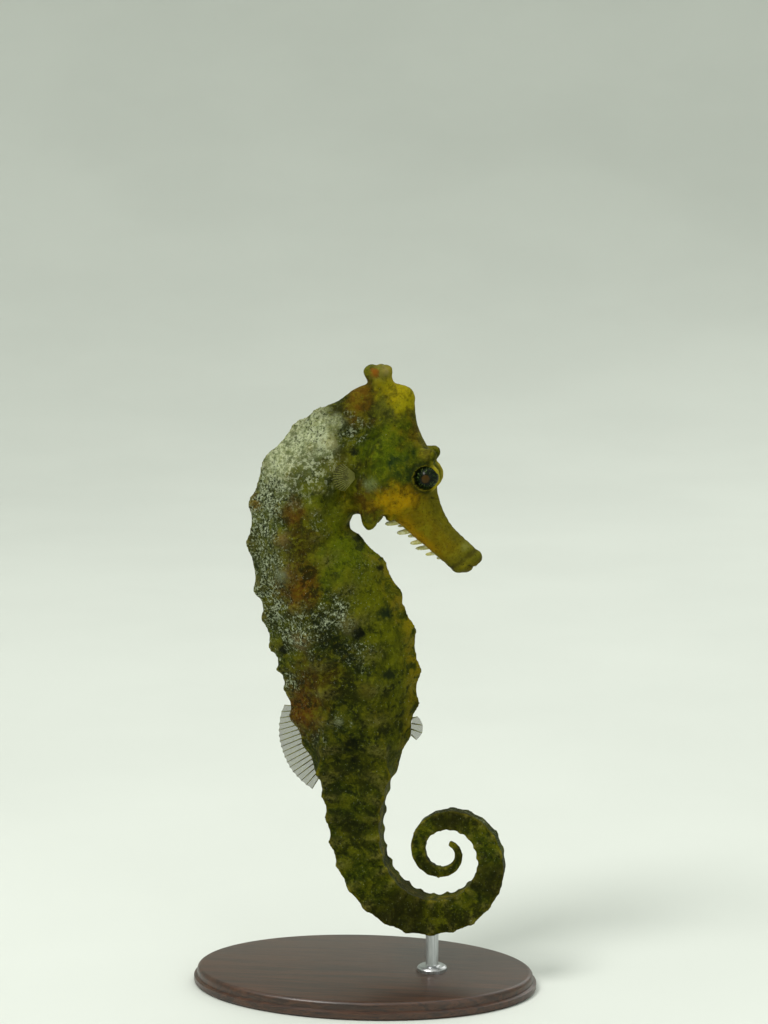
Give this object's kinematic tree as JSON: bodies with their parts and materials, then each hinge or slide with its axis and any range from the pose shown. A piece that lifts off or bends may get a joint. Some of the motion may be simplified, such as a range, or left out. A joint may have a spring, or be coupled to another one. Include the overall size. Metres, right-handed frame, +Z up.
{
  "type": "seahorse display model",
  "caption": "Life-size still seahorse with a ridged, knobbed body, bent head, long snout, low crown and forward-curled tail, held upright by a short rod on a flat oval base.",
  "frame": {"origin": "middle of the underside of the stand's base", "axes": "+Z up; +X the way the head and belly face; +Y the animal's left, so the plane y = 0 halves it"},
  "size_m": [0.06, 0.04, 0.1085],
  "materials": {
    "skin": "damp, fine-grained skin over bony rings, olive and yellow with dark and pale mottling",
    "eye": "glossy dark eye with pale flecks and an orange-brown pupil",
    "fin": "thin pale membrane between fine rays",
    "stand_wood": "dark stained, satin lacquered",
    "stand_metal": "fine brushed"
  },
  "bodies": {
    "root": {"head": "skin", "snout": "skin", "mouth": "skin", "coronet": "skin", "neck": "skin", "trunk": "skin", "tail_root": "skin", "tail_sweep": "skin", "tail_rise": "skin", "tail_curl": "skin", "tail_tip": "skin", "eye_left": "eye", "eye_right": "eye", "dorsal_fin": "fin", "anal_fin": "fin", "pectoral_fin_left": "fin", "pectoral_fin_right": "fin", "stand_base": "stand_wood", "stand_rod": "stand_metal"}
  },
  "joints": []
}
